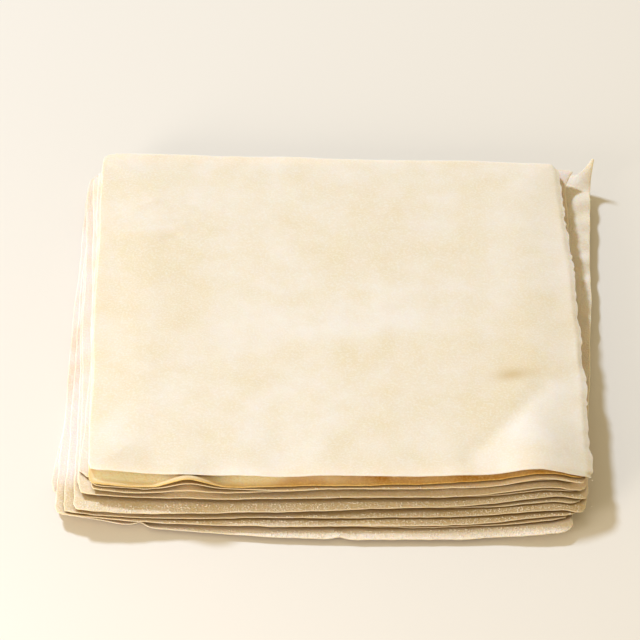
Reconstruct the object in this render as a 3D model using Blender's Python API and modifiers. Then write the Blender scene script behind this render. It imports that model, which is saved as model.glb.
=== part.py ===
"""A stack of thin square spring roll wrappers, laid one on another by hand.

Every wrapper is one closed sheet of wheat dough. Lengths are in metres, +X runs right
along the front edge, +Y runs back and +Z is up. The origin is on the table, below the
middle of the stack.
"""

import math
import random
from collections import namedtuple

import bpy

MM = 0.001

# --- the stack -------------------------------------------------------------------------
SHEET_THICKNESS = 0.60 * MM
SHEET_PITCH = 1.15 * MM  # from one wrapper's underside to the next one's
CROWN = 1.4 * MM  # how much higher the top wrapper lies in the middle than at its edges
CROWN_EDGE = 24.0 * MM  # how far in from the edges the stack has risen to that
GRID_COARSE = 12  # cells along a side
GRID_FRONT = 26  # cells along the front of a wrapper that arches or lifts there
GRID_CORNER = 18  # cells along a side of a wrapper with a corner drawn out
EDGE_CROWDING = 0.6  # how far the grid lines crowd towards the edges, 0 to 1
CORNER_CROWDING = 0.9  # of a wrapper with a corner drawn out

# Each wrapper from the bottom up: how far its middle lies right and back, how far it is
# turned (positive is anticlockwise from above), its side, how far its front edge bows
# forward in the middle, how far its front and back edges run askew, how far its right
# edge bows out, and how far its front edge lifts.
Wrapper = namedtuple(
    "Wrapper", "right back turn side front_bow front_skew back_skew right_bow front_lift"
)
WRAPPERS = (
    Wrapper(-6.2, -9.2, -2.4, 196.5, 8.3, 0.0, 0.0, 0.6, 0.0),
    Wrapper(-4.9, -2.2, -4.0, 197.0, 8.5, 0.0, 0.0, 0.8, 0.0),
    Wrapper(-6.2, -7.0, -1.3, 199.0, 5.0, 2.3, 0.8, 0.5, 0.0),
    Wrapper(-4.5, -6.8, -0.6, 198.0, 2.2, 2.5, -0.6, 0.9, 0.1),
    Wrapper(5.0, 1.6, -4.6, 190.0, 7.5, 0.0, 7.0, 1.6, 0.1),
    Wrapper(-4.3, -6.0, 0.7, 195.0, 2.6, 3.6, 0.9, 0.7, 0.2),
    Wrapper(-4.5, -2.3, 0.4, 191.0, 2.0, 0.0, -0.5, 1.0, 0.2),
    Wrapper(-4.5, -2.4, 1.3, 193.0, 2.6, 0.0, 0.7, 0.6, 0.3),
    Wrapper(-1.0, 1.0, -2.0, 190.0, 2.0, 2.5, 0.4, 0.2, 0.4),
    Wrapper(-3.4, -2.8, 2.2, 188.0, 2.4, 1.5, -0.8, 0.8, 0.5),
    Wrapper(-2.6, -3.6, 1.0, 189.0, 2.4, 0.0, 0.6, 0.5, 0.5),
    Wrapper(-1.5, -2.8, 0.7, 189.0, 2.4, 2.0, -0.7, 1.0, 0.5),
    Wrapper(-0.6, -0.2, 0.5, 191.0, 3.0, -1.0, -4.0, 1.8, 3.6),
)
TOP = len(WRAPPERS) - 1

# --- how the front edges lie -----------------------------------------------------------
STACK_HALF = 97.0 * MM  # how far out the edges of the upper wrappers lie
FRONT_LINE = -STACK_HALF
LIFT_REACH = 38.0 * MM  # how far back from there a slightly lifted edge has settled again
FRONT_RISE = 1.3 * MM  # the edges that reach out past the front of the stack bend up
FRONT_RISE_OVER = 16.0 * MM

TURN_UP = 26.0 * MM  # how far back the front edges that bend up sharply start to rise
FOLD_TURN_UP = 54.0 * MM  # and how far at the right of the top wrapper, behind a soft fold
FOLD_FROM = 46.0 * MM
FOLD_OVER = 50.0 * MM
LIFT_ENDS_AT = 66.0 * MM  # right of this the lifted top edge comes down to its corner
LIFT_DOWN_OVER = 30.0 * MM

ARCH_CENTRE = -57.0 * MM
ARCH_WIDTH = 9.5 * MM
ARCH_HEIGHTS = {9: 0.9 * MM, 10: 2.5 * MM, 11: 3.3 * MM}  # by the wrapper's number

HUMP_CENTRE = 76.0 * MM  # the stack rises here at the front
HUMP_WIDTH = 17.0 * MM
HUMP_HEIGHT = 2.2 * MM  # of the top wrapper
HUMP_REACH = 60.0 * MM

DROOP_FROM = 74.0 * MM  # and droops from here to its front right corner
DROOP_OVER = 26.0 * MM
DROOP_REACH = 34.0 * MM
DROOP = 2.3 * MM  # of the top wrapper

# --- dried corners ---------------------------------------------------------------------
CURLED_CORNERS = ((-106.0 * MM, -104.0 * MM), (90.0 * MM, -108.0 * MM))
CORNER_CURL = 2.0 * MM
CORNER_RADIUS = 26.0 * MM

# Wrappers whose back right corner stands up: how far it is drawn right, back and up, how
# much of the half side the pull reaches, and how steeply it grows towards the corner.
Horn = namedtuple("Horn", "right back up reach slenderness")
HORNS = {4: Horn(3.0, 3.0, 11.8, 0.13, 3.0), 8: Horn(4.5, -0.6, 2.5, 0.13, 1.4)}
HORN_BLUNT = 0.93  # the end is torn off where this much of the pull is reached

# --- unevenness ------------------------------------------------------------------------
RIPPLE = 0.09 * MM
RIPPLE_WAVES = 3
RIPPLE_LENGTH = (70.0 * MM, 130.0 * MM)
TOP_SWELL = 0.30 * MM
RAGGED_EDGE = 0.55 * MM
RAGGED_FROM = 0.86  # of the half side
RAGGED_WAVES = ((5.3, 1.0), (9.1, 0.7), (14.7, 0.5))  # turns along an edge, strength
SEED = 31

DOUGH_COLOUR = (0.88, 0.79, 0.63)
DOUGH_ROUGHNESS = 0.72
SHADE_SPREAD = 0.04


def smooth(share):
    """0 up to share 0, 1 from share 1, and a smooth step between."""
    share = min(1.0, max(0.0, share))
    return share * share * (3.0 - 2.0 * share)


def bell(distance, width):
    return math.exp(-((distance / width) ** 2))


def crowded(a, crowding):
    """A grid line's place from -1 to 1, moved towards the nearer edge."""
    return (1.0 - crowding) * a + crowding * math.sin(a * math.pi / 2.0)


def near_edge(a):
    """0 over the middle of a wrapper, and 1 at the edges where a is -1 or 1."""
    return smooth((abs(a) - RAGGED_FROM) / (1.0 - RAGGED_FROM))


def ragged(along, phase):
    """The unevenness of a hand-torn edge, about -1 to 1, at a place along it."""
    total = sum(strength for _, strength in RAGGED_WAVES)
    waves = (
        strength * math.sin(turns * along + phase * (1.0 + turns))
        for turns, strength in RAGGED_WAVES
    )
    return sum(waves) / total


def ripples(index):
    """A wrapper's own waves, each a direction, a wave number and a phase."""
    draw = random.Random(SEED + index)
    waves = []
    for _ in range(RIPPLE_WAVES):
        heading = draw.uniform(0.0, math.pi)
        number = 2.0 * math.pi / draw.uniform(*RIPPLE_LENGTH)
        waves.append((math.cos(heading), math.sin(heading), number, draw.uniform(0.0, 6.28)))
    return waves


def wave_height(waves, x, y):
    """The mean of the waves at a point, from -1 to 1."""
    return sum(math.sin(n * (c * x + s * y) + p) for c, s, n, p in waves) / len(waves)


def front_share(y, reach):
    """1 at the front edges of the stack, 0 from reach behind them."""
    return 1.0 - smooth((y - FRONT_LINE) / reach)


def turned_up(y, reach):
    """1 at the front edges of the stack, falling to 0 ever more gently over reach."""
    return max(1.0 - (y - FRONT_LINE) / reach, 0.0) ** 2


def arch(index, x, y):
    """The buckle that the wrappers under the top one make together at the front edge."""
    height = ARCH_HEIGHTS.get(index, 0.0)
    return height * bell(x - ARCH_CENTRE, ARCH_WIDTH) * turned_up(y, TURN_UP)


def top_lift(x, y):
    """The share of the top wrapper's front lift, which a soft fold ends at the right."""
    reach = TURN_UP + (FOLD_TURN_UP - TURN_UP) * smooth((x - FOLD_FROM) / FOLD_OVER)
    return turned_up(y, reach) * (1.0 - smooth((x - LIFT_ENDS_AT) / LIFT_DOWN_OVER))


def hump(x, y):
    """The share of the rise beside the front right corner."""
    return bell(x - HUMP_CENTRE, HUMP_WIDTH) * front_share(y, HUMP_REACH)


def droop(x, y):
    """The share of the fall towards the front right corner."""
    return smooth((x - DROOP_FROM) / DROOP_OVER) * front_share(y, DROOP_REACH)


def crown(x, y):
    """The share of the rise in the middle, 0 at the edges of the stack."""
    inward = STACK_HALF - max(abs(x), abs(y))
    return smooth(inward / CROWN_EDGE)


def underside(index, waves, x, y):
    """How high a wrapper's underside lies at a point of the table."""
    height = index * SHEET_PITCH + FRONT_RISE * smooth((FRONT_LINE - y) / FRONT_RISE_OVER)
    height += sum(
        CORNER_CURL * bell(math.hypot(x - cx, y - cy), CORNER_RADIUS)
        for cx, cy in CURLED_CORNERS
    )
    rise = CROWN * crown(x, y) + HUMP_HEIGHT * hump(x, y) - DROOP * droop(x, y)
    height += index / TOP * rise
    if index == TOP:
        lifted = top_lift(x, y)
        height += TOP_SWELL * (1.0 + wave_height(waves, x, y))
    else:
        lifted = front_share(y, LIFT_REACH)
        height += RIPPLE * wave_height(waves, x, y) if index else 0.0
    return height + WRAPPERS[index].front_lift * MM * lifted + arch(index, x, y)


def plan_place(index, u, v):
    """Where the point (u, v) of a wrapper lies on the table; u and v run from -1 to 1."""
    wrapper = WRAPPERS[index]
    half = wrapper.side * MM / 2.0
    x, y = half * u, half * v
    to_front, to_back, to_right = (1.0 - v) / 2.0, (1.0 + v) / 2.0, (1.0 + u) / 2.0
    y -= wrapper.front_bow * MM * (1.0 - u * u) * to_front**3
    y += wrapper.front_skew * MM * u * to_front**2
    y += wrapper.back_skew * MM * u * to_back**2
    x += wrapper.right_bow * MM * (1.0 - v * v) * to_right**3
    x += RAGGED_EDGE * ragged(v, index + 0.3 * u) * near_edge(u)
    y += RAGGED_EDGE * ragged(u, index + 0.7 * v) * near_edge(v)
    turn = math.radians(wrapper.turn)
    return (
        wrapper.right * MM + x * math.cos(turn) - y * math.sin(turn),
        wrapper.back * MM + x * math.sin(turn) + y * math.cos(turn),
    )


def sheet_point(index, waves, u, v):
    """A point of a wrapper's underside."""
    x, y = plan_place(index, u, v)
    z = underside(index, waves, x, y)
    if index in HORNS:
        horn = HORNS[index]
        near = 1.0 - math.hypot(1.0 - u, 1.0 - v) / horn.reach
        pull = min(max(near, 0.0), HORN_BLUNT) ** horn.slenderness * MM
        x, y, z = x + pull * horn.right, y + pull * horn.back, z + pull * horn.up
    return x, y, z


def dough_material(index):
    """Raw wheat dough, a little lighter or darker from wrapper to wrapper."""
    material = bpy.data.materials.new(f"dough_{index + 1:02d}")
    material.use_nodes = True
    shade = 1.0 + SHADE_SPREAD * math.sin(2.4 * index)
    shader = material.node_tree.nodes["Principled BSDF"]
    shader.inputs["Base Color"].default_value = (*(c * shade for c in DOUGH_COLOUR), 1.0)
    shader.inputs["Roughness"].default_value = DOUGH_ROUGHNESS
    shader.inputs["Metallic"].default_value = 0.0
    return material


def make_wrapper(index, collection):
    """One wrapper: a grid laid to its outline and its drape, then given its thickness."""
    columns, rows = GRID_COARSE, GRID_COARSE
    if index in HORNS:
        columns, rows = GRID_CORNER, GRID_CORNER
    elif index >= min(ARCH_HEIGHTS):
        columns = GRID_FRONT
    bpy.ops.mesh.primitive_grid_add(x_subdivisions=columns, y_subdivisions=rows, size=2.0)
    sheet = bpy.context.active_object
    sheet.name = sheet.data.name = f"wrapper_{index + 1:02d}"
    waves = ripples(index)
    crowding = CORNER_CROWDING if index in HORNS else EDGE_CROWDING
    for vertex in sheet.data.vertices:
        u, v = crowded(vertex.co.x, crowding), crowded(vertex.co.y, crowding)
        vertex.co = sheet_point(index, waves, u, v)
    solid = sheet.modifiers.new("thickness", "SOLIDIFY")
    solid.thickness = SHEET_THICKNESS
    solid.offset = 1.0
    sheet.data.materials.append(dough_material(index))
    for home in list(sheet.users_collection):
        home.objects.unlink(sheet)
    collection.objects.link(sheet)
    return sheet


def centre_on_table(sheets):
    """Moves the stack so that the origin lies below the middle of its outline."""
    points = [vertex.co for sheet in sheets for vertex in sheet.data.vertices]
    middle_x = (min(p.x for p in points) + max(p.x for p in points)) / 2.0
    middle_y = (min(p.y for p in points) + max(p.y for p in points)) / 2.0
    for sheet in sheets:
        sheet.location = (-middle_x, -middle_y, 0.0)


def main():
    for old in list(bpy.data.objects):
        bpy.data.objects.remove(old)
    stack = bpy.data.collections.new("spring_roll_wrapper_stack")
    bpy.context.scene.collection.children.link(stack)
    sheets = [make_wrapper(index, stack) for index in range(len(WRAPPERS))]
    centre_on_table(sheets)


main()
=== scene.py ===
import math
import random
from collections import namedtuple

import bpy
import numpy as np
from mathutils import Matrix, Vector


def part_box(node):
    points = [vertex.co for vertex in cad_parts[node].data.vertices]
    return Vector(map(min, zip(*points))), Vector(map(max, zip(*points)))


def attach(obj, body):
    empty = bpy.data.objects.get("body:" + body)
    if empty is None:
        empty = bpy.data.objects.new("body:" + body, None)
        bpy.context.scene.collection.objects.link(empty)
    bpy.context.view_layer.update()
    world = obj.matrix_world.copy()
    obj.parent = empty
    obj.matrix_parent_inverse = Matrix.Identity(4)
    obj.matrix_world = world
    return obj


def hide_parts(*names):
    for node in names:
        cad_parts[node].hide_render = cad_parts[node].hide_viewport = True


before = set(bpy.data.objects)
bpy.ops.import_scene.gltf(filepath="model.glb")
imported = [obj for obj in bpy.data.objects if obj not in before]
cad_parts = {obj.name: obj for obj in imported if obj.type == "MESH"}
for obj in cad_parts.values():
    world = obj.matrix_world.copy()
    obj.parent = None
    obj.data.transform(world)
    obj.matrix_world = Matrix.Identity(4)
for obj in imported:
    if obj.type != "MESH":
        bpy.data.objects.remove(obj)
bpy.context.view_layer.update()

MM = 0.001

# --- The camera ------------------------------------------------------------------------
# A long lens about 1.35 metres away looks 42 degrees down on the front edges, a touch from
# the left, so the sides of the stack hardly draw together. The picture is square.
LENS_MM = 191.25  # on a sensor 36 mm wide
CAMERA_FROM_TOP = (-28.3 * MM, -1011.6 * MM)  # right and back of the top wrapper's middle
CAMERA_HEIGHT = 910.9 * MM
CAMERA_YAW = 1.22
CAMERA_DOWN = 41.71
CAMERA_ROLL = 1.0

top_low, top_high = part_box("wrapper_13")
camera_data = bpy.data.cameras.new("camera")
camera_data.sensor_width = 36.0
camera_data.lens = LENS_MM
camera = bpy.data.objects.new("camera", camera_data)
camera_place = Matrix.Translation(
    (
        (top_low[0] + top_high[0]) / 2.0 + CAMERA_FROM_TOP[0],
        (top_low[1] + top_high[1]) / 2.0 + CAMERA_FROM_TOP[1],
        CAMERA_HEIGHT,
    )
)
camera_aim = (
    Matrix.Rotation(math.radians(-CAMERA_YAW), 4, "Z")
    @ Matrix.Rotation(math.radians(90.0 - CAMERA_DOWN), 4, "X")
    @ Matrix.Rotation(math.radians(CAMERA_ROLL), 4, "Z")
)
camera.matrix_world = camera_place @ camera_aim
bpy.context.scene.collection.objects.link(camera)
bpy.context.scene.camera = camera

# --- The bottom wrapper ----------------------------------------------------------------
# A square of wheat dough, smeared wet on a hot plate and peeled off thin. It lies flat on
# the table; its dried front corners stand up a little, its front edge bows forward, and
# the edge is pinched in two places where fingers lifted it.
SHEET_THICKNESS = 0.80 * MM
SHEET_PITCH = 1.15 * MM  # from one wrapper's underside to the next one's
TOP = 12  # the top wrapper's number, counted from 0 at the bottom
STACK_HALF = 97.0 * MM  # how far out the edges of the upper wrappers lie
CROWN = 1.4 * MM  # how much higher the top wrapper lies in the middle than at its edges
CROWN_EDGE = 24.0 * MM
HUMP_CENTRE = 76.0 * MM  # the stack rises here at the front
HUMP_WIDTH = 17.0 * MM
HUMP_HEIGHT = 2.2 * MM
HUMP_REACH = 60.0 * MM
DROOP_FROM = 74.0 * MM  # and droops from here to its front right corner
DROOP_OVER = 26.0 * MM
DROOP_REACH = 34.0 * MM
DROOP = 2.3 * MM
FRONT_RISE = 1.3 * MM  # the edges that reach out past the front of the stack bend up
FRONT_RISE_OVER = 16.0 * MM
CURLED_CORNERS = ((-106.0 * MM, -104.0 * MM), (90.0 * MM, -108.0 * MM))  # dried, they stand up
CORNER_CURL = 2.0 * MM
CORNER_RADIUS = 26.0 * MM
RAGGED_EDGE = 0.55 * MM
RAGGED_FROM = 0.86  # of the half side
RAGGED_WAVES = ((5.3, 1.0), (9.1, 0.7), (14.7, 0.5))  # turns along an edge, strength
EDGE_CROWDING = 0.6
SOLID_CELLS = 12  # cells along a side of the bottom wrapper's plain solid

# Where a wrapper lies, in millimetres and degrees: its middle, its turn, its side, how far
# its front edge bows forward, how far its front and back edges run askew, how far its
# right edge bows out, and how far its front edge lifts.
Wrapper = namedtuple(
    "Wrapper", "right back turn side front_bow front_skew back_skew right_bow front_lift"
)
BOTTOM = Wrapper(-6.2, -9.2, -2.4, 196.5, 8.3, 0.0, 0.0, 0.6, 0.0)

EDGE_STEP = 1.1 * MM  # between the points along an edge
RIM_DEPTHS = (0.0, 0.12, 0.35, 0.8)  # mm in from the edge, where the rim is round
RING_DEPTHS = RIM_DEPTHS + (1.5, 2.5, 4.0, 6.0, 9.0, 13.0, 19.0, 30.0, 52.0)
ROUND_RIM = 0.3 * MM
LIP_THICKNESS = 0.6  # the share of its thickness that a wrapper keeps at its edge
LIP_WIDTH = 3.5 * MM  # over which it thins, from below
FRAY_STEPS = ((1.9 * MM, 0.6), (4.3 * MM, 1.0), (13.0 * MM, 0.9))  # between nicks, strength
FRAY = 0.65 * MM
TORN_STEPS = ((2.1 * MM, 1.0), (5.5 * MM, 0.8), (14.0 * MM, 1.0))  # of an edge cut deeper
CUT_SHARE = 0.3  # how much of its fray an edge loses on average
NICK_SHARE = 0.5  # and how much more or less at the nicks
WANDER_KNOTS = 500  # enough for an edge at the closest steps
SEEDS_A_WANDER = 10  # so that no two share one
EDGE_START = 1.001  # keeps a place along an edge above 0
FRAY_WIDTH = 4.0 * MM
CORNER_FRAY = 1.6  # how much more at the corners
CORNER_RUN = 16.0 * MM
ROUND_CORNER = (0.5 * MM, 2.0 * MM)  # how far a worn corner is drawn in
ROUND_CORNER_WIDTH = 7.0 * MM
FLUTTER_STEPS = ((3.2 * MM, 0.45), (7.0 * MM, 0.6), (19.0 * MM, 1.0))  # waves of an edge
FLUTTER = 0.26 * MM
FLUTTER_WIDTH = 9.0 * MM
FLUTTER_SEED = 60  # past the seeds of the nicks
BILLOW = 0.4 * MM  # waves along the front that all the wrappers share
BILLOW_LENGTHS = (71.0 * MM, 43.0 * MM, 26.0 * MM)
BILLOW_PHASE = 1.7
BILLOW_REACH = 45.0 * MM
NORMAL_STEP = 0.006  # of the half side
# Each pinch: how far right it lies, its half width and its height.
PINCHES = ((-75.3 * MM, 2.6 * MM, 1.2 * MM), (-0.5 * MM, 2.4 * MM, 0.6 * MM))
PINCH_WIDTH = 5.0 * MM
PINCH_BACK = 0.8  # how far back a pinch draws the edge, of its height
STRETCH = 2.2 * MM  # how far its front right corner is stretched forward
STRETCH_FROM = 52.0 * MM
STRETCH_OVER = 28.0 * MM
STRETCH_REACH = 24.0 * MM
PALE_TONE = 0.15  # how pale it dried in the open
PAINTED_FRONT_SHADE = 0.5  # painted shade: how much deeper its colour is along its front edge, where the shade of the stack falls
PAINTED_FRONT_SHADE_REACH = 14.0 * MM
LIT_LEFT_FROM = 82.0 * MM  # the lit left margins, painted paler, lie left of this
LIT_LEFT_OVER = 6.0 * MM
PAINTED_LEFT_LIGHT = 0.15  # painted light: how much paler they are painted there, where the lamps light them
PAINTED_SHADE_FRONT = 20.0 * MM  # how far in from the front the painted shade stays on and the left margins get no painted light


def smooth(share):
    """0 up to share 0, 1 from share 1, and a smooth step between."""
    share = np.clip(share, 0.0, 1.0)
    return share * share * (3.0 - 2.0 * share)


def bell(distance, width):
    return np.exp(-((distance / width) ** 2))


def crowded(a):
    """A grid line's place from -1 to 1, moved towards the nearer edge."""
    return (1.0 - EDGE_CROWDING) * a + EDGE_CROWDING * np.sin(a * math.pi / 2.0)


def near_edge(a):
    return smooth((np.abs(a) - RAGGED_FROM) / (1.0 - RAGGED_FROM))


def ragged(along, phase):
    """The large unevenness of an edge, which the plain solids have too."""
    total = sum(strength for _, strength in RAGGED_WAVES)
    waves = (s * np.sin(turns * along + phase * (1.0 + turns)) for turns, s in RAGGED_WAVES)
    return sum(waves) / total


def wander(along, steps, seed):
    """Random ups and downs along an edge, from -1 to 1. steps: (metres apart, strength)."""
    rise = 0.0
    for number, (step, strength) in enumerate(steps):
        draw = np.random.RandomState(seed * SEEDS_A_WANDER + number)
        knots = draw.uniform(-1.0, 1.0, WANDER_KNOTS)
        place = along / step
        cell = np.floor(place).astype(int)
        knot_rise = knots[cell + 1] - knots[cell]
        rise = rise + strength * (knots[cell] + knot_rise * smooth(place - cell))
    return rise / sum(strength for _, strength in steps)


def front_share(y, reach):
    """1 at the front edges of the stack, 0 from reach behind them."""
    return 1.0 - smooth((y + STACK_HALF) / reach)


def lit_left_margin(x, y):
    """1 on the lit left margins, which painted light makes paler, 0 elsewhere and at the front.
    """
    return smooth((-x - LIT_LEFT_FROM) / LIT_LEFT_OVER) * (1.0 - front_share(y, PAINTED_SHADE_FRONT))


def hump(x, y):
    return bell(x - HUMP_CENTRE, HUMP_WIDTH) * front_share(y, HUMP_REACH)


def droop(x, y):
    return smooth((x - DROOP_FROM) / DROOP_OVER) * front_share(y, DROOP_REACH)


def crown(x, y):
    """The share of the rise in the middle, 0 at the edges of the stack."""
    return smooth((STACK_HALF - np.maximum(np.abs(x), np.abs(y))) / CROWN_EDGE)


def billow(x, y):
    waves = sum(
        np.sin(2.0 * math.pi * x / length + BILLOW_PHASE * number)
        for number, length in enumerate(BILLOW_LENGTHS)
    )
    return waves / len(BILLOW_LENGTHS) * front_share(y, BILLOW_REACH)


def stacked(index, x, y):
    """How high a wrapper's underside lies, but for what the wrapper does on its own."""
    height = index * SHEET_PITCH + FRONT_RISE * smooth((-y - STACK_HALF) / FRONT_RISE_OVER)
    for corner_x, corner_y in CURLED_CORNERS:
        away = np.hypot(x - corner_x, y - corner_y)
        height = height + CORNER_CURL * bell(away, CORNER_RADIUS)
    rise = CROWN * crown(x, y) + HUMP_HEIGHT * hump(x, y) - DROOP * droop(x, y)
    return height + index / TOP * (rise + BILLOW * billow(x, y))


def plan_place(index, wrapper, u, v):
    """Where the point (u, v) of a wrapper lies on the table; u and v run from -1 to 1."""
    half = wrapper.side * MM / 2.0
    x, y = half * u, half * v
    to_front, to_back, to_right = (1.0 - v) / 2.0, (1.0 + v) / 2.0, (1.0 + u) / 2.0
    y = y - wrapper.front_bow * MM * (1.0 - u * u) * to_front**3
    y = y + wrapper.front_skew * MM * u * to_front**2
    y = y + wrapper.back_skew * MM * u * to_back**2
    x = x + wrapper.right_bow * MM * (1.0 - v * v) * to_right**3
    x = x + RAGGED_EDGE * ragged(v, index + 0.3 * u) * near_edge(u)
    y = y + RAGGED_EDGE * ragged(u, index + 0.7 * v) * near_edge(v)
    turn = math.radians(wrapper.turn)
    return (
        wrapper.right * MM + x * math.cos(turn) - y * math.sin(turn),
        wrapper.back * MM + x * math.sin(turn) + y * math.cos(turn),
    )


# The wrappers are laid out round a point of their own, so the bottom one's solid tells
# how far that point lies from the origin.
solid_lines = crowded(np.linspace(-1.0, 1.0, SOLID_CELLS + 1))
bottom_low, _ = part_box("wrapper_01")
left_edge, _ = plan_place(0, BOTTOM, -1.0, solid_lines)
_, front_edge = plan_place(0, BOTTOM, solid_lines, -1.0)
SHIFT = np.array((bottom_low[0] - left_edge.min(), bottom_low[1] - front_edge.min(), 0.0))


def frayed_edges(index, half, frayed, x, y, u, v):
    """Nicks in each of the four edges, deeper at the corners, and corners worn away."""
    for number, (across, along) in enumerate(((u, v), (v, u), (-u, v), (-v, u))):
        near = smooth(1.0 - (1.0 - across) * half / FRAY_WIDTH)
        torn = frayed[number] > FRAY
        if not torn:
            by_corner = smooth(1.0 - (1.0 - np.abs(along)) * half / CORNER_RUN)
            near = near * (1.0 + CORNER_FRAY * by_corner)
        steps = TORN_STEPS if torn else FRAY_STEPS
        nicks = wander((along + EDGE_START) * half, steps, 4 * index + number)
        cut = frayed[number] * near * (CUT_SHARE - NICK_SHARE * nicks)
        x = x - cut * (number == 0) + cut * (number == 2)
        y = y - cut * (number == 1) + cut * (number == 3)
    off_u, off_v = ((1.0 - np.abs(a)) * half / ROUND_CORNER_WIDTH for a in (u, v))
    worn = (np.clip(1.0 - off_u, 0.0, 1.0) * np.clip(1.0 - off_v, 0.0, 1.0)) ** 2
    radii = np.random.RandomState(index).uniform(*ROUND_CORNER, 4)
    worn = worn * radii[2 * (u > 0.0) + (v > 0.0)]
    return x - worn * np.sign(u), y - worn * np.sign(v)


def surface(index, wrapper, forms, frayed, u, v):
    """The middle of a wrapper's thickness at (u, v), as an array of points."""
    half = wrapper.side * MM / 2.0
    x, y = plan_place(index, wrapper, u, v)
    x, y = frayed_edges(index, half, frayed, x, y, u, v)
    z = stacked(index, x, y)
    for number, (across, along) in enumerate(((u, v), (v, u))):
        near = smooth(1.0 - (1.0 - np.abs(across)) * half / FLUTTER_WIDTH)
        seed = 4 * index + FLUTTER_SEED + number
        z = z + FLUTTER * near * wander((along + EDGE_START) * half, FLUTTER_STEPS, seed)
    for form in forms:
        x, y, z = form(x, y, z, u, v)
    z = np.maximum(z, 0.0)  # nothing reaches below the table
    return np.stack((x, y, z + SHEET_THICKNESS / 2.0), axis=-1)


def thickness(depth):
    """How thick a wrapper is, depth metres in from its rounded edge, and its middle's rise."""
    lip = LIP_THICKNESS + (1.0 - LIP_THICKNESS) * smooth(depth / LIP_WIDTH)
    rim = np.sqrt(1.0 - (1.0 - np.clip(depth / ROUND_RIM, 0.0, 1.0)) ** 2)
    return SHEET_THICKNESS * lip * rim, SHEET_THICKNESS * (1.0 - lip) / 2.0


def rings(half, step=EDGE_STEP):
    """Points (u, v) in rings round a wrapper's middle, how deep they lie, and the faces."""
    run = np.linspace(-1.0, 1.0, round(2.0 * half / step), endpoint=False)
    still = np.ones(len(run))
    around_u = np.concatenate((run, still, -run, -still))
    around_v = np.concatenate((-still, run, still, -run))
    depths = np.array(RING_DEPTHS) * MM
    shrink = 1.0 - depths / half
    u = np.append(np.outer(shrink, around_u).ravel(), 0.0)
    v = np.append(np.outer(shrink, around_v).ravel(), 0.0)
    depth = np.append(np.repeat(depths, len(around_u)), half)
    numbers = np.arange(len(u) - 1).reshape(len(depths), -1)
    nexts = np.roll(numbers, -1, axis=1)
    quads = np.stack((numbers[:-1], nexts[:-1], nexts[1:], numbers[1:]), axis=-1)
    centre = np.full(len(around_u), len(u) - 1)
    wedges = np.stack((numbers[-1], nexts[-1], centre), axis=-1)
    return u, v, depth, quads.reshape(-1, 4).tolist() + wedges.tolist()


def mark(mesh, name, values):
    """Keeps a number at each point of a mesh, for its material."""
    mesh.attributes.new(name, "FLOAT", "POINT").data.foreach_set("value", values)


places = {}  # each wrapper's number to the function that gives its surface


def lay_wrapper(index, wrapper, forms=(), frayed=(FRAY,) * 4, spread=rings):
    """Makes a wrapper as a closed sheet with a rounded rim, and puts it in the stack."""
    half = wrapper.side * MM / 2.0

    def place(u, v):
        return surface(index, wrapper, forms, frayed, u, v)

    u, v, depth, faces = spread(half)
    right, left = np.minimum(u + NORMAL_STEP, 1.0), np.maximum(u - NORMAL_STEP, -1.0)
    back, front = np.minimum(v + NORMAL_STEP, 1.0), np.maximum(v - NORMAL_STEP, -1.0)
    normals = np.cross(place(right, v) - place(left, v), place(u, back) - place(u, front))
    normals = normals / np.linalg.norm(normals, axis=1)[:, None]
    thick, raised = thickness(depth)
    rise = normals * thick[:, None] / 2.0
    laid = place(u, v)
    middle = laid + normals * raised[:, None] + SHIFT
    # Painted light on the lit left margins: there no painted shade or rim colour is laid;
    # elsewhere the mask is 1.
    shade_and_rim_mask = 1.0 - lit_left_margin(laid[:, 0], laid[:, 1])
    inner = np.flatnonzero(depth > 0.0)  # the rim's own points are on both sides
    below = np.arange(len(u))
    below[inner] = len(u) + np.arange(len(inner))
    underside = [below[face][::-1].tolist() for face in faces]
    name = f"dough_sheet_{index + 1:02d}"
    mesh = bpy.data.meshes.new(name)
    vertices = np.concatenate((middle + rise, (middle - rise)[inner]))
    mesh.from_pydata(vertices.tolist(), [], faces + underside)
    mesh.shade_smooth()
    mark(mesh, "edge_depth", np.concatenate((depth, depth[inner])))
    mark(mesh, "shade_and_rim_mask", np.concatenate((shade_and_rim_mask, shade_and_rim_mask[inner])))
    piece = bpy.data.objects.new(name, mesh)
    bpy.context.scene.collection.objects.link(piece)
    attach(piece, "root")
    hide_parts(f"wrapper_{index + 1:02d}")
    places[index] = place
    return piece


def linear(hex_colour):
    """An sRGB hex colour as the linear colour that a shader wants."""
    parts = [int(hex_colour[i : i + 2], 16) / 255.0 for i in (1, 3, 5)]
    return [c / 12.92 if c <= 0.04045 else ((c + 0.055) / 1.055) ** 2.4 for c in parts] + [1.0]


def add(tree, kind, inputs=None, **settings):
    """Adds a node. inputs: each socket's value, or the socket that feeds it."""
    node = tree.nodes.new(kind)
    for key, value in settings.items():
        setattr(node, key, value)
    for key, value in (inputs or {}).items():
        if isinstance(value, bpy.types.NodeSocket):
            tree.links.new(value, node.inputs[key])
        else:
            node.inputs[key].default_value = value
    return node


PATCH_SIZE = 46.0 * MM  # where the batter was spread thicker and thinner
MOTTLE_SIZE = 11.0 * MM
GRAIN_SIZE = 0.8 * MM  # clumps of flour, drawn coarser than real ones so that they show
GRAIN_HEIGHT = 0.2 * MM
PORE_SPACING = 2.2 * MM  # burst bubbles of steam
PORE_DEPTH = 0.12 * MM
PORE_RELIEF = 0.2
TONE_RANGE = (0.65, 1.35)  # from the pale colour to the deep one
DRY_RIM = 1.6 * MM
DRY_SHARE = 0.8
DUSTED_RANGE = (0.45, 0.75)
DUSTED_SHARE = 0.6
# the colour of the toasted spot, also used as painted shade in a small dent on the top wrapper
TOAST_AND_DENT_SHADE_COLOUR = "#D6BD8E"
PAINTED_SHADE = "#94713A"  # painted shade: the colour is darkened towards this where the dough is covered, in the gaps between the wrappers
PAINTED_SHADE_REACH = 2.6 * MM
COVERED_RANGE = (0.2, 0.85)


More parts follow.
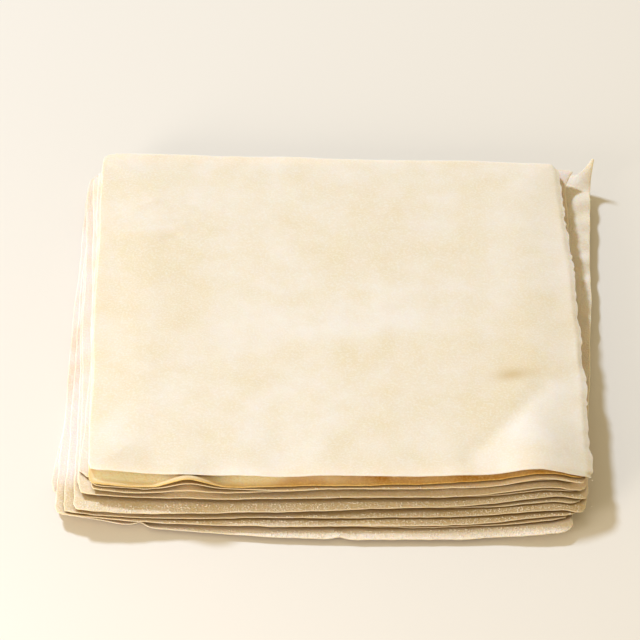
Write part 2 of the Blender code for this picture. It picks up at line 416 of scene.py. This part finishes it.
def dough(
    name, pale, deep, powder, rim, relief=0.5, see_through=0.7 * MM, rim_width=DRY_RIM,
    shade_reach=PAINTED_SHADE_REACH,
):
    """Raw wheat dough, set on a hot plate: matt, a little see-through and floury.

    It reads each point's depth in from the edge, its tone with painted light and shade (paler
    above 0, deeper below), its toast and painted dent shade, and a mask for the painted shade,
    which darkens it where ambient occlusion finds it covered, and for its rim colour.
    """
    material = bpy.data.materials.new(name)
    material.use_nodes = True
    tree = material.node_tree
    tree.nodes.clear()
    place = add(tree, "ShaderNodeTexCoord").outputs["Object"]
    depth, tone_and_painted_light, toast_and_dent_shade, shade_and_rim_mask = (
        add(tree, "ShaderNodeAttribute", attribute_name=mark_name).outputs["Fac"]
        for mark_name in ("edge_depth", "tone_and_painted_light", "toast_and_dent_shade", "shade_and_rim_mask")
    )
    patchy, mottled, grain = (
        add(
            tree, "ShaderNodeTexNoise", {"Vector": place, "Scale": 1.0 / size, "Detail": detail}
        ).outputs["Fac"]
        for size, detail in ((PATCH_SIZE, 2.0), (MOTTLE_SIZE, 4.0), (GRAIN_SIZE, 3.0))
    )
    uneven = add(tree, "ShaderNodeMath", {0: patchy, 1: mottled}, operation="ADD").outputs[0]
    toned = add(tree, "ShaderNodeMath", {0: uneven, 1: tone_and_painted_light}, operation="SUBTRACT").outputs[0]
    deeper = add(
        tree,
        "ShaderNodeMapRange",
        {0: toned, "From Min": TONE_RANGE[0], "From Max": TONE_RANGE[1]},
    )

    def blend(share, first, second):
        """A mix of two colours, each a hex value or a socket."""
        ends = [linear(c) if isinstance(c, str) else c for c in (first, second)]
        inputs = {"Factor": share, 6: ends[0], 7: ends[1]}
        return add(tree, "ShaderNodeMix", inputs, data_type="RGBA").outputs[2]

    colour = blend(deeper.outputs[0], pale, deep)
    # A rim colour along the edges; on the wrapper under the top one it is painted shade, deeper
    # towards its front edge.
    rim_share = add(
        tree,
        "ShaderNodeMapRange",
        {0: depth, "From Max": rim_width, "To Min": DRY_SHARE, "To Max": 0.0},
    )
    rimmed = add(tree, "ShaderNodeMath", {0: rim_share.outputs[0], 1: shade_and_rim_mask}, operation="MULTIPLY")
    colour = blend(rimmed.outputs[0], colour, rim)
    dusted = add(
        tree,
        "ShaderNodeMapRange",
        {
            0: grain,
            "From Min": DUSTED_RANGE[0],
            "From Max": DUSTED_RANGE[1],
            "To Max": DUSTED_SHARE,
        },
    )
    colour = blend(dusted.outputs[0], colour, powder)
    colour = blend(toast_and_dent_shade, colour, TOAST_AND_DENT_SHADE_COLOUR)
    # Painted shade: ambient occlusion darkens the colour in the gaps and under the edges of the
    # wrappers above, where shade falls.
    openness = add(tree, "ShaderNodeAmbientOcclusion", {"Distance": shade_reach}, samples=6)
    covered = add(
        tree,
        "ShaderNodeMapRange",
        {
            0: openness.outputs["AO"],
            "From Min": COVERED_RANGE[0],
            "From Max": COVERED_RANGE[1],
            "To Min": 1.0,
            "To Max": 0.0,
        },
    )
    painted_shade_share = add(tree, "ShaderNodeMath", {0: covered.outputs[0], 1: shade_and_rim_mask}, operation="MULTIPLY")
    colour = blend(painted_shade_share.outputs[0], colour, PAINTED_SHADE)
    pores = add(tree, "ShaderNodeTexVoronoi", {"Vector": place, "Scale": 1.0 / PORE_SPACING})
    pitted = add(
        tree,
        "ShaderNodeBump",
        {"Height": pores.outputs["Distance"], "Strength": PORE_RELIEF, "Distance": PORE_DEPTH},
    )
    bump = add(
        tree,
        "ShaderNodeBump",
        {
            "Height": grain,
            "Strength": relief,
            "Distance": GRAIN_HEIGHT,
            "Normal": pitted.outputs[0],
        },
    )
    shader = add(
        tree,
        "ShaderNodeBsdfPrincipled",
        {
            "Base Color": colour,
            "Roughness": 0.7,
            "IOR": 1.45,
            "Specular IOR Level": 0.35,
            "Subsurface Weight": 0.6,
            "Subsurface Radius": (1.0, 0.74, 0.42),
            "Subsurface Scale": see_through,
            "Normal": bump.outputs[0],
        },
    )
    add(tree, "ShaderNodeOutputMaterial", {"Surface": shader.outputs[0]})
    return material


def points_of(piece):
    """The places right and back of a wrapper's points, in its own layout."""
    points = np.empty(3 * len(piece.data.vertices))
    piece.data.vertices.foreach_get("co", points)
    return (points.reshape(-1, 3) - SHIFT)[:, :2].T


def pinched(x, y, z, u, v):
    """Two small folds that stand up at the front edge, and a stretched front right corner."""
    near_front = smooth(1.0 - (1.0 + v) * BOTTOM.side * MM / 2.0 / PINCH_WIDTH)
    for pinch_x, width, height in PINCHES:
        share = bell(x - pinch_x, width) * near_front
        y = y + PINCH_BACK * height * share
        z = z + height * share
    stretched = smooth((x - STRETCH_FROM) / STRETCH_OVER) * front_share(y, STRETCH_REACH)
    return x, y - STRETCH * stretched, z


def tone_with_painted_light(piece):
    """A wrapper's tone: pale all over as it dried, with painted light on its lit left margins and
    painted shade along its front edge.
    """
    x, y = points_of(piece)
    return PALE_TONE + PAINTED_LEFT_LIGHT * lit_left_margin(x, y) - PAINTED_FRONT_SHADE * front_share(y, PAINTED_FRONT_SHADE_REACH)


bottom_sheet = lay_wrapper(0, BOTTOM, [pinched])
mark(bottom_sheet.data, "tone_and_painted_light", tone_with_painted_light(bottom_sheet))
bottom_sheet.data.materials.append(
    dough("wheat_dough_bottom", "#F5ECDE", "#EBDABA", "#F8F1E4", "#EFE3CC", relief=0.8)
)

# --- The lower wrappers ----------------------------------------------------------------
# Three more squares of the same dough, each a few millimetres larger than those above and
# laid further forward, so that their floured edges show as steps at the front and left.
LOWER = (
    Wrapper(-4.9, -2.2, -4.0, 197.0, 8.5, 0.0, 0.0, 0.8, 0.0),
    Wrapper(-6.2, -7.0, -1.3, 199.0, 5.0, 2.3, 0.8, 0.5, 0.0),
    Wrapper(-4.5, -6.8, -0.6, 198.0, 2.2, 2.5, -0.6, 0.9, 0.1),
)
SEED = 31
RIPPLE = 0.09 * MM
RIPPLE_WAVES = 3
RIPPLE_LENGTH = (70.0 * MM, 130.0 * MM)
LIFT_REACH = 38.0 * MM
FLARE = 2.4 * MM  # how far a stretched front right corner sags forward
FLARE_FROM = 80.0 * MM
FLARE_OVER = 15.0 * MM
FLARE_REACH = 20.0 * MM
FLARES_FROM = 3  # the lowest wrapper with such a corner


def ripples(index):
    """A wrapper's own waves, each a direction, a wave number and a phase."""
    draw = random.Random(SEED + index)
    waves = []
    for _ in range(RIPPLE_WAVES):
        heading = draw.uniform(0.0, math.pi)
        number = 2.0 * math.pi / draw.uniform(*RIPPLE_LENGTH)
        waves.append((math.cos(heading), math.sin(heading), number, draw.uniform(0.0, 6.28)))
    return waves


def wave_height(waves, x, y):
    return sum(np.sin(n * (c * x + s * y) + p) for c, s, n, p in waves) / len(waves)


def rippled(index, wrapper):
    """A wrapper's own faint ripples, and its lifted front edge."""
    waves = ripples(index)

    def form(x, y, z, u, v):
        z = z + RIPPLE * wave_height(waves, x, y)
        z = z + wrapper.front_lift * MM * front_share(y, LIFT_REACH)
        flared = smooth((x - FLARE_FROM) / FLARE_OVER) * front_share(y, FLARE_REACH)
        return x, y - FLARE * flared * (index >= FLARES_FROM), z

    return form


lower_dough = dough("wheat_dough_lower", "#EEE0D3", "#DAC393", "#F2E8DA", "#E6D5B3", relief=1.0)
for number, wrapper in enumerate(LOWER, start=1):
    sheet = lay_wrapper(number, wrapper, [rippled(number, wrapper)])
    mark(sheet.data, "tone_and_painted_light", tone_with_painted_light(sheet))
    sheet.data.materials.append(lower_dough)

# --- The wrapper with the horn ---------------------------------------------------------
# The fifth wrapper from the table lies turned. Its back right corner stuck to its
# neighbour when it was peeled off, and dried as a thin horn that stands up. Its bare
# right margin is puckered.
HORNED_NUMBER = 4  # counted from 0 at the bottom
HORNED = Wrapper(5.0, 1.6, -4.6, 190.0, 7.5, 0.0, 7.0, 1.6, 0.1)
HORN_DRAWN = (3.0 * MM, 3.0 * MM, 11.8 * MM)
HORN_REACH = 0.13  # of the half side
HORN_SLENDERNESS = 3.0
HORN_BLUNT = 0.93  # its end is torn off where this much of the pull is reached
HORN_EDGE_STEP = 0.5 * MM  # between the points along this wrapper's edge
PUCKER = 0.7 * MM
PUCKER_LENGTH = 12.5 * MM
PUCKER_WAVES = (2.0 * math.pi, 4.1)  # radians over that length, so they run out of step
PUCKER_FROM = 98.0 * MM
PUCKER_OVER = 5.0 * MM


def horn(drawn, reach, slenderness):
    """Draws the back right corner out (right, back, up) to a blunt point."""

    def form(x, y, z, u, v):
        near = np.clip(1.0 - np.hypot(1.0 - u, 1.0 - v) / reach, 0.0, HORN_BLUNT)
        pull = near**slenderness
        return x + pull * drawn[0], y + pull * drawn[1], z + pull * drawn[2]

    return form


def fine_rings(half):
    return rings(half, HORN_EDGE_STEP)


def puckered(x, y, z, u, v):
    bare = smooth((x - PUCKER_FROM) / PUCKER_OVER)
    wave = sum(np.sin(radians * y / PUCKER_LENGTH) for radians in PUCKER_WAVES)
    return x, y, z + PUCKER * bare * wave / 2.0


horned_forms = [
    rippled(HORNED_NUMBER, HORNED),
    puckered,
    horn(HORN_DRAWN, HORN_REACH, HORN_SLENDERNESS),
]
horned_sheet = lay_wrapper(HORNED_NUMBER, HORNED, horned_forms, spread=fine_rings)
mark(horned_sheet.data, "tone_and_painted_light", tone_with_painted_light(horned_sheet))
horned_sheet.data.materials.append(
    dough("wheat_dough_dried", "#ECE3D1", "#E6D5AC", "#F1EADA", "#E9DBBB", relief=1.0)
)

# --- The middle wrappers ---------------------------------------------------------------
# Four squares whose front edges lie almost flush, so that mostly their floured edges show.
# The highest of them has its back right corner turned up beside the top wrapper's.
MIDDLE = (
    Wrapper(-4.3, -6.0, 0.7, 195.0, 2.6, 3.6, 0.9, 0.7, 0.2),
    Wrapper(-4.5, -2.3, 0.4, 191.0, 2.0, 0.0, -0.5, 1.0, 0.2),
    Wrapper(-4.5, -2.4, 1.3, 193.0, 2.6, 0.0, 0.7, 0.6, 0.3),
    Wrapper(-1.0, 1.0, -2.0, 190.0, 2.0, 2.5, 0.4, 0.2, 0.4),
)
TURNED_UP = (4.5 * MM, -0.6 * MM, 2.5 * MM)
TURNED_UP_REACH = 0.13
TURNED_UP_SLENDERNESS = 1.4
middle_dough = dough("wheat_dough_middle", "#EDDFD0", "#E4D0A3", "#F3E9DA", "#E6D5B2", relief=1.0)
for number, wrapper in enumerate(MIDDLE, start=HORNED_NUMBER + 1):
    forms = [rippled(number, wrapper)]
    if wrapper is MIDDLE[-1]:
        forms.append(horn(TURNED_UP, TURNED_UP_REACH, TURNED_UP_SLENDERNESS))
    sheet = lay_wrapper(number, wrapper, forms)
    mark(sheet.data, "tone_and_painted_light", tone_with_painted_light(sheet))
    sheet.data.materials.append(middle_dough)

# --- The arched wrappers ---------------------------------------------------------------
# The three squares under the top one buckled together at the front, to the left, and left
# a dark hollow below them. The highest is painted buttery yellow, painted light for the light
# that falls through the top wrapper on it, and painted deeper towards its front edge as shade.
ARCHED = (
    Wrapper(-3.4, -2.8, 2.2, 188.0, 2.4, 1.5, -0.8, 0.8, 0.5),
    Wrapper(-2.6, -3.6, 1.0, 189.0, 2.4, 0.0, 0.6, 0.5, 0.5),
    Wrapper(-1.5, -2.8, 0.7, 189.0, 2.4, 2.0, -0.7, 1.0, 0.5),
)
ARCH_CENTRE = -57.0 * MM
ARCH_WIDTH = 9.5 * MM
ARCH_HEIGHTS = (0.9 * MM, 2.5 * MM, 3.3 * MM)
TURN_UP = 26.0 * MM  # how far back their front edges bend up
PAINTED_GLOW_SIDE_LIGHT = 0.45  # painted light: how much paler the highest is at its left, where light comes in, and deeper at its right
SWELL = 1.2 * MM  # how far the highest rises behind its front edge, beside the arch
SWELL_BEHIND = 5.3 * MM  # how far behind the front edges of the stack
SWELL_WIDTH = 4.5 * MM
SWELL_OFF_ARCH = 15.0 * MM
SWELL_ENDS_AT = 40.0 * MM
SWELL_ENDS_OVER = 30.0 * MM


def turned_up(y, reach):
    """1 at the front edges of the stack, falling to 0 ever more gently over reach."""
    return np.maximum(1.0 - (y + STACK_HALF) / reach, 0.0) ** 2


def arched(height):
    def form(x, y, z, u, v):
        return x, y, z + height * bell(x - ARCH_CENTRE, ARCH_WIDTH) * turned_up(y, TURN_UP)

    return form


def swollen(x, y, z, u, v):
    """Slopes the highest one's front margin down towards its edge, into the light."""
    share = bell(y + STACK_HALF - SWELL_BEHIND, SWELL_WIDTH)
    share = share * (1.0 - bell(x - ARCH_CENTRE, SWELL_OFF_ARCH))
    return x, y, z + SWELL * share * (1.0 - smooth((x - SWELL_ENDS_AT) / SWELL_ENDS_OVER))


arched_dough = dough("wheat_dough_arched", "#F0E5D7", "#EFD8AA", "#F4EAD8", "#E8D5B0", relief=0.8)
# Painted light and shade: its golden colour stands for light through the top wrapper, and its
# wide deep rim darkens it towards its front edge.
painted_glow_dough = dough(
    "wheat_dough_painted_glow", "#FFF0C8", "#B97F1C", "#F3D488", "#D2A856", 0.5, 1.2 * MM,
    rim_width=3.5 * MM, shade_reach=1.0 * MM,
)
lowest_arched = TOP - len(ARCHED)
for number, (wrapper, height) in enumerate(zip(ARCHED, ARCH_HEIGHTS), start=lowest_arched):
    under_top = number == TOP - 1
    forms = [rippled(number, wrapper), arched(height)]
    if under_top:
        forms.append(swollen)
    sheet = lay_wrapper(number, wrapper, forms)
    sheet.data.materials.append(painted_glow_dough if under_top else arched_dough)
    # Painted light: the highest is paler on the left, where the light comes in, and deeper on the
    # right.
    painted_side_light = -PAINTED_GLOW_SIDE_LIGHT * points_of(sheet)[0] / STACK_HALF
    mark(sheet.data, "tone_and_painted_light", painted_side_light if under_top else tone_with_painted_light(sheet))

# --- The top wrapper -------------------------------------------------------------------
# The uppermost square shows its whole face: soft, powdery dough with pale patches, one
# toasted spot from the hot plate and a few slack creases. Its front edge stands clear of
# the one below, its right edge is torn, and a soft fold crosses its front right corner.
TOP_WRAPPER = Wrapper(-0.6, -0.2, 0.5, 191.0, 3.0, -1.0, -4.0, 1.8, 3.6)
TOP_CELL = 0.95 * MM
ON_RIM = 0.001 * MM  # a point no deeper than this lies on the rim
TOP_FRAY = (2.4 * MM, 0.35 * MM, 0.4 * MM, 0.3 * MM)  # right, back, left, front
TOP_SWELL = 0.30 * MM  # half the height of its slack ripples
FOLD_TURN_UP = 54.0 * MM  # how far back its front edge bends up at the right, at the fold
FOLD_FROM = 46.0 * MM  # where the bend starts to reach further back
FOLD_OVER = 50.0 * MM
LIFT_ENDS_AT = 66.0 * MM  # where the lifted front edge starts to come down
LIFT_DOWN_OVER = 30.0 * MM
RIGHT_ROLL = 0.9 * MM  # how far its right edge hangs
RIGHT_ROLL_WIDTHS = (2.8 * MM, 3.2 * MM)  # over which it bends down, at the front and back
RIGHT_ROLL_WIDENS = -0.3  # behind this place between the front, -1, and the back, 1
FRONT_ROLL = 0.5 * MM  # how far its front edge hangs, bent down over this width
FRONT_ROLL_WIDTH = 2.8 * MM
# Creases run from one point to another; then their half width and their height, in mm.
CREASES = (
    ((50.0, -86.0), (65.0, -67.5), 4.5, -0.45),
    ((67.0, -64.0), (79.0, -45.5), 4.0, -0.38),
    ((81.0, -42.0), (97.0, -34.0), 3.6, -0.24),
    ((-86.0, 44.0), (-62.0, 49.0), 2.6, 0.32),
    ((-90.0, 56.0), (-74.0, 65.0), 2.4, 0.28),
    ((-69.5, 41.0), (-65.0, 42.5), 2.0, -0.35),
    ((44.0, -23.0), (53.0, -21.0), 4.0, 0.22),
    ((20.0, 4.0), (31.0, 5.0), 5.0, 0.20),
    ((-2.0, -33.0), (12.0, -30.0), 6.0, 0.16),
    ((60.0, -42.0), (76.0, -38.0), 4.5, -0.20),
)
# Paler and deeper patches: their middle, half length and half width in mm, their turn in
# degrees, and how pale (above 0) or deep (below 0) they are. Most are the dough's own tone;
# some are painted light and shade: the pale ones at (72, -70), (88, -46) and (82, -76) in front
# of the fold at the front right corner, where it faces the lamp, the deep ones behind the fold at
# (60, -58) and (74, -30), the pale band at (86, 50) where the right edge rounds over, and the
# highlight on the small bubble at (-73, 47).
TONES_AND_PAINTED_LIGHT = (
    (-10.0, -12.0, 30.0, 7.0, 2.0, 0.22),
    (41.0, -4.0, 26.0, 8.0, 18.0, 0.22),
    (72.0, 12.0, 16.0, 7.0, 25.0, 0.18),
    (-73.0, 47.0, 7.0, 5.0, 0.0, 0.25),
    (-55.0, 68.0, 7.0, 9.0, 0.0, 0.18),
    (43.0, 46.0, 12.0, 12.0, 0.0, 0.12),
    (86.0, 50.0, 9.0, 40.0, 0.0, 0.16),
    (-70.0, 5.0, 22.0, 70.0, 0.0, -0.20),
    (-10.0, -88.0, 80.0, 12.0, 0.0, -0.10),
    (72.0, -70.0, 20.0, 7.0, 54.0, 0.45),
    (88.0, -46.0, 9.0, 6.0, 30.0, 0.40),
    (82.0, -76.0, 14.0, 9.0, 30.0, 0.25),
    (63.0, 44.0, 12.0, 22.0, 0.0, -0.16),
    (80.0, 21.0, 10.0, 8.0, 0.0, -0.12),
    (-15.0, 4.0, 8.0, 6.0, 0.0, -0.22),
    (30.0, 3.0, 7.0, 5.0, 0.0, -0.20),
    (9.0, -28.0, 12.0, 7.0, 15.0, -0.20),
    (30.0, -18.0, 16.0, 4.0, 8.0, -0.14),
    (-53.0, 8.0, 14.0, 11.0, 0.0, -0.14),
    (-54.0, -24.0, 16.0, 12.0, 0.0, -0.10),
    (-86.0, -54.0, 8.0, 7.0, 0.0, -0.22),
    (-51.0, 44.0, 7.0, 5.0, 0.0, -0.18),
    (15.0, 52.0, 8.0, 6.0, 0.0, -0.16),
    (-76.0, 80.0, 18.0, 8.0, 0.0, -0.14),
    (10.0, 76.0, 60.0, 8.0, 0.0, -0.14),
    (74.0, -30.0, 14.0, 10.0, 20.0, -0.16),
    (60.0, -58.0, 26.0, 9.0, 30.0, -0.12),
)
# The first two make the toasted spot; the third is painted shade in the dent of the small bubble
# on the left.
TOASTS_AND_DENT_SHADE = (
    (67.4, -39.4, 6.0, 3.2, 12.0, 0.85),
    (75.5, -37.4, 7.0, 3.4, 28.0, 0.24),
    (-67.0, 42.0, 4.0, 1.6, 12.0, 0.16),
)


def creased(x, y):
    """How high the creases stand."""
    height = 0.0
    for (start_x, start_y), (end_x, end_y), width, rise in CREASES:
        run_x, run_y = end_x - start_x, end_y - start_y
        length = math.hypot(run_x, run_y)
        off_x, off_y = x / MM - start_x, y / MM - start_y
        along = (off_x * run_x + off_y * run_y) / length
        across = (off_y * run_x - off_x * run_y) / length
        beyond = np.maximum(np.maximum(-along, along - length), 0.0)
        height = height + rise * MM * bell(np.hypot(across, beyond), width)
    return height


def top_form():
    waves = ripples(TOP)

    def form(x, y, z, u, v):
        reach = TURN_UP + (FOLD_TURN_UP - TURN_UP) * smooth((x - FOLD_FROM) / FOLD_OVER)
        lift = turned_up(y, reach) * (1.0 - smooth((x - LIFT_ENDS_AT) / LIFT_DOWN_OVER))
        z = z + TOP_WRAPPER.front_lift * MM * lift
        z = z + TOP_SWELL * (1.0 + wave_height(waves, x, y)) + creased(x, y)
        from_right, from_front = (a * TOP_WRAPPER.side * MM / 2.0 for a in (1.0 - u, 1.0 + v))
        widened = smooth(v - RIGHT_ROLL_WIDENS)
        roll_width = RIGHT_ROLL_WIDTHS[0] + np.ptp(RIGHT_ROLL_WIDTHS) * widened
        z = z - RIGHT_ROLL * smooth(1.0 - from_right / roll_width)
        return x, y, z - FRONT_ROLL * smooth(1.0 - from_front / FRONT_ROLL_WIDTH)

    return form


def grid(half):
    """Points (u, v) in an even grid, closer together at the rim, and the faces."""
    rim = np.array(RIM_DEPTHS) * MM
    inner = half - rim[-1] - TOP_CELL
    even = np.linspace(-inner, inner, round(2.0 * inner / TOP_CELL) + 1)
    lines = np.concatenate((rim - half, even, (half - rim)[::-1])) / half
    u, v = (a.ravel() for a in np.meshgrid(lines, lines))
    depth = (1.0 - np.maximum(np.abs(u), np.abs(v))) * half
    depth[depth < ON_RIM] = 0.0
    numbers = np.arange(len(u)).reshape(len(lines), -1)
    quads = (numbers[:-1, :-1], numbers[:-1, 1:], numbers[1:, 1:], numbers[1:, :-1])
    return u, v, depth, np.stack(quads, axis=-1).reshape(-1, 4).tolist()


def patched(x, y, patches):
    """The sum of soft elongated patches at points of the top wrapper, in millimetres."""
    total = 0.0
    for patch_x, patch_y, length, width, turn, strength in patches:
        turn = math.radians(turn)
        off_x, off_y = x - patch_x, y - patch_y
        along = off_x * math.cos(turn) + off_y * math.sin(turn)
        across = off_y * math.cos(turn) - off_x * math.sin(turn)
        total = total + strength * bell(along, length) * bell(across, width)
    return total


top_sheet = lay_wrapper(TOP, TOP_WRAPPER, [top_form()], TOP_FRAY, grid)
top_x, top_y = points_of(top_sheet) / MM
mark(top_sheet.data, "tone_and_painted_light", patched(top_x, top_y, TONES_AND_PAINTED_LIGHT))
mark(top_sheet.data, "toast_and_dent_shade", patched(top_x, top_y, TOASTS_AND_DENT_SHADE))
top_sheet.data.materials.append(
    dough(
        "wheat_dough_top", "#F2E3D0", "#E9D6B3", "#F5EBDD", "#F2E4D2", 0.35, see_through=1.8 * MM
    )
)

# --- The flour -------------------------------------------------------------------------
# Wheat starch is dusted between the wrappers so that they peel apart. It shows as fine
# white lumps on the steps of the front edges, and thinly on the top wrapper.
GRAINS_A_STEP = 1500  # tried on each wrapper; those under another wrapper are left out
GRAINS_A_HEAP = 120  # how many of them are moved to each heap
GRAINS_ON_TOP = 700
GRAIN_RADII = (0.10 * MM, 0.36 * MM)  # coarser than real flour, so that they show
GRAIN_STRETCH = (0.7, 1.3)
TOP_GRAIN_SHARE = 0.4  # how large those on the top are beside the others
TOP_GRAIN_CROWDING = 0.6  # below 1 they lie closer together towards the front
STEP_SPREAD = 0.98  # how far along an edge they reach, of its half
TOP_SPREAD = 0.99
GRAIN_DEPTHS = (0.1 * MM, 5.0 * MM)  # how far in from the front edge they lie
HEAPS = ((-8.5 * MM, 9.0 * MM), (66.0 * MM, 12.0 * MM))  # where more lies, and how widely
EDGE_POINTS = 300  # along the front edges that tell which of them are covered

draw = np.random.RandomState(SEED)


def front_line(index):
    """A wrapper's front edge, as the places right and back of its points."""
    run = np.linspace(-1.0, 1.0, EDGE_POINTS)
    edge = places[index](run, -np.ones(EDGE_POINTS))
    return edge[:, 0], edge[:, 1]


grain_places = []
for number in range(TOP - 1):
    along = draw.uniform(-STEP_SPREAD, STEP_SPREAD, GRAINS_A_STEP)
    for heap, (heap_x, heap_width) in enumerate(HEAPS):
        heaped = slice(heap * GRAINS_A_HEAP, (heap + 1) * GRAINS_A_HEAP)
        along[heaped] = draw.normal(heap_x, heap_width, GRAINS_A_HEAP) / STACK_HALF
    depth = draw.uniform(*GRAIN_DEPTHS, GRAINS_A_STEP)
    spots = places[number](along, depth / STACK_HALF - 1.0)
    thick, raised = thickness(depth)
    spots[:, 2] += raised + thick / 2.0
    cover = [np.interp(spots[:, 0], *front_line(above)) for above in range(number + 1, TOP + 1)]
    grain_places.append(spots[spots[:, 1] < np.min(cover, axis=0) - GRAIN_RADII[1]])
along, across = draw.uniform(-TOP_SPREAD, TOP_SPREAD, (2, GRAINS_ON_TOP))
spots = places[TOP](along, 1.0 - 2.0 * np.abs(across) ** TOP_GRAIN_CROWDING)
spots[:, 2] += SHEET_THICKNESS / 2.0
grain_places.append(spots)
grain_places = np.concatenate(grain_places) + SHIFT

# A lump has four corners round its middle, then one above and one below them.
lump = np.array(((1, 0, 0), (0, 1, 0), (-1, 0, 0), (0, -1, 0), (0, 0, 1), (0, 0, -1)))
upper = [(corner, (corner + 1) % 4, 4) for corner in range(4)]
lower = [(5, (corner + 1) % 4, corner) for corner in range(4)]
lump_faces = np.array(upper + lower)
radii = draw.uniform(*GRAIN_RADII, len(grain_places))
radii[-GRAINS_ON_TOP:] *= TOP_GRAIN_SHARE
stretch = draw.uniform(*GRAIN_STRETCH, (len(grain_places), len(lump), 1))
grain_points = grain_places[:, None, :] + lump[None] * stretch * radii[:, None, None]
grain_faces = lump_faces[None] + len(lump) * np.arange(len(grain_places))[:, None, None]
flour_mesh = bpy.data.meshes.new("flour_grains")
flour_mesh.from_pydata(
    grain_points.reshape(-1, 3).tolist(), [], grain_faces.reshape(-1, 3).tolist()
)
flour = bpy.data.objects.new("flour_grains", flour_mesh)
bpy.context.scene.collection.objects.link(flour)
# Dry wheat starch is dead matt and nearly white, a little creamier where it took up damp.
starch = bpy.data.materials.new("wheat_starch")
starch.use_nodes = True
starch_tree = starch.node_tree
starch_shader = starch_tree.nodes["Principled BSDF"]
starch_place = add(starch_tree, "ShaderNodeTexCoord").outputs["Object"]
starch_noise = add(
    starch_tree, "ShaderNodeTexNoise", {"Vector": starch_place, "Scale": 1.0 / MOTTLE_SIZE}
)
starch_colour = add(
    starch_tree,
    "ShaderNodeMix",
    {"Factor": starch_noise.outputs["Fac"], 6: linear("#F7F0E2"), 7: linear("#EADDC4")},
    data_type="RGBA",
)
starch_tree.links.new(starch_colour.outputs[2], starch_shader.inputs["Base Color"])
starch_shader.inputs["Roughness"].default_value = 0.9
flour_mesh.materials.append(starch)
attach(flour, "root")

# --- The floor and the light -----------------------------------------------------------
# A plain warm white floor, a soft lamp high on the left and behind the stack, a smaller one
# low and close at the front left that lights the edges, and an even warm sky that fills the
# shadows. The lamps' and the sky's colours are linear, and may pass 1.
FLOOR_SIZE = 6.0
KEY_AWAY = 3.6
KEY_SIZE = 0.50
KEY_ELEVATION = 43.4
KEY_AZIMUTH = 127.0  # anticlockwise from the right, so to the left and behind
KEY_POWER = 99.0
KEY_COLOUR = (0.78, 0.93, 1.25)
FILL_AWAY = 0.7
FILL_SIZE = 0.3
FILL_ELEVATION = 17.0
FILL_AZIMUTH = 224.0
FILL_POWER = 2.6
FILL_COLOUR = (1.05, 0.97, 0.95)
SKY_COLOUR = (1.0, 0.84, 0.56, 1.0)
SKY_STRENGTH = 0.58

bpy.ops.mesh.primitive_plane_add(size=FLOOR_SIZE)
floor = bpy.context.active_object
floor.name = "floor"
floor_paint = bpy.data.materials.new("warm_white_floor")
floor_paint.use_nodes = True
floor_shader = floor_paint.node_tree.nodes["Principled BSDF"]
floor_shader.inputs["Base Color"].default_value = linear("#E7E0D0")
floor_shader.inputs["Roughness"].default_value = 0.6
floor.data.materials.append(floor_paint)


def soft_lamp(name, azimuth, elevation, away, size, power, colour):
    """A round soft lamp that points at the stack."""
    light = bpy.data.lights.new(name, "AREA")
    light.shape = "DISK"
    light.size = size
    light.energy = power
    light.color = colour
    lamp = bpy.data.objects.new(name, light)
    lamp.matrix_world = (
        Matrix.Rotation(math.radians(azimuth), 4, "Z")
        @ Matrix.Rotation(math.radians(90.0 - elevation), 4, "Y")
        @ Matrix.Translation((0.0, 0.0, away))
    )
    bpy.context.scene.collection.objects.link(lamp)


soft_lamp("key", KEY_AZIMUTH, KEY_ELEVATION, KEY_AWAY, KEY_SIZE, KEY_POWER, KEY_COLOUR)
soft_lamp("fill", FILL_AZIMUTH, FILL_ELEVATION, FILL_AWAY, FILL_SIZE, FILL_POWER, FILL_COLOUR)

sky = bpy.data.worlds.new("sky")
sky.use_nodes = True
background = sky.node_tree.nodes["Background"]
background.inputs["Color"].default_value = SKY_COLOUR
background.inputs["Strength"].default_value = SKY_STRENGTH
bpy.context.scene.world = sky
bpy.context.scene.view_settings.view_transform = "Standard"
